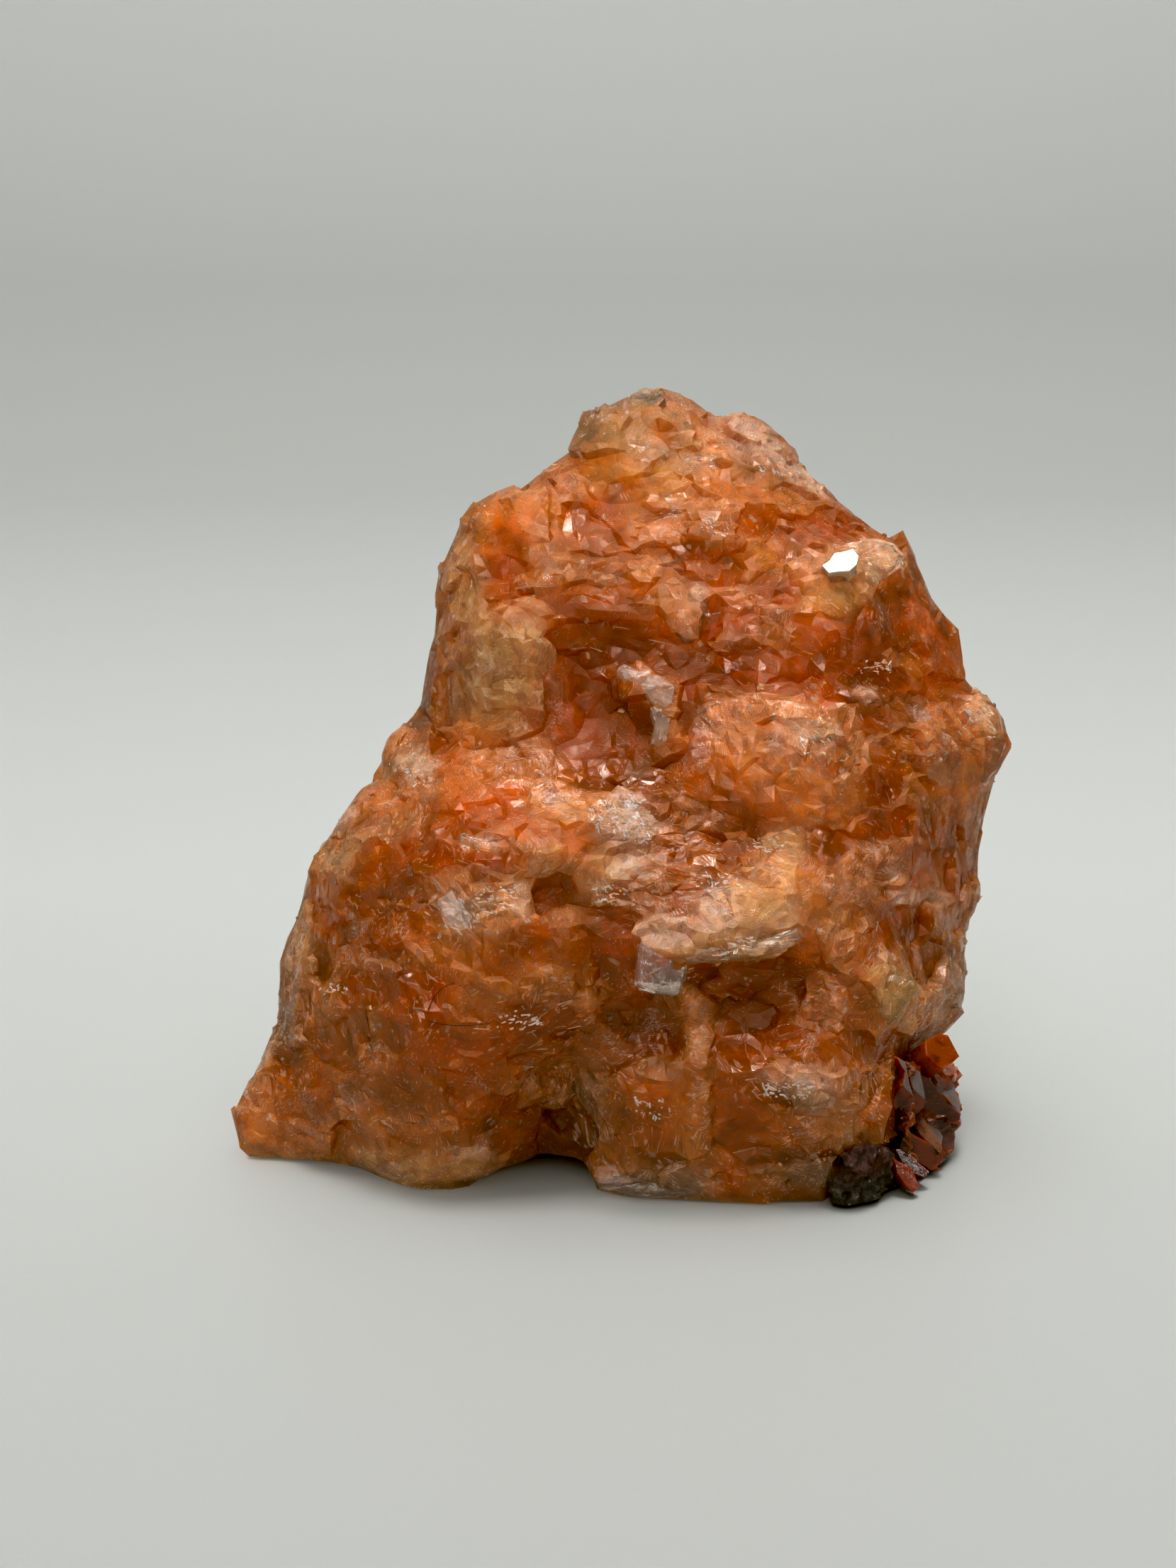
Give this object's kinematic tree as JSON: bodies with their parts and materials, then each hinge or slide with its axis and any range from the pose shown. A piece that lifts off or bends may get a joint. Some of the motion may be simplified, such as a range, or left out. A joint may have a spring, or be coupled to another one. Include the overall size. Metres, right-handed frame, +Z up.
{
  "type": "polyhalite with sylvite mineral specimen",
  "caption": "Hand-size broken lump of translucent orange to red polyhalite with clear to milky sylvite grains, standing on its flat underside.",
  "frame": {"origin": "middle of the resting plane under the lump, at the centre of its overall box", "axes": "+X to the right along the greatest width, +Y from the front face to the back, +Z up from the resting plane"},
  "size_m": [0.0504, 0.0302, 0.0479],
  "materials": {
    "polyhalite_mass": "translucent orange to deep red crystalline mass with glassy cleavage faces, fibrous streaks and pale frosted patches",
    "sylvite": "clear to milky grains with glassy cleavage faces and fine parallel striations, see-through",
    "bladed_crystals": "glossy red-brown blades with grey mirror-like faces and orange light at thin edges",
    "dark_matrix": "blackish green fine-grained host rock with pale specks and small glints"
  },
  "bodies": {
    "root": {"polyhalite_mass": "polyhalite_mass", "bladed_crystals": "bladed_crystals", "dark_matrix": "dark_matrix"}
  },
  "joints": []
}
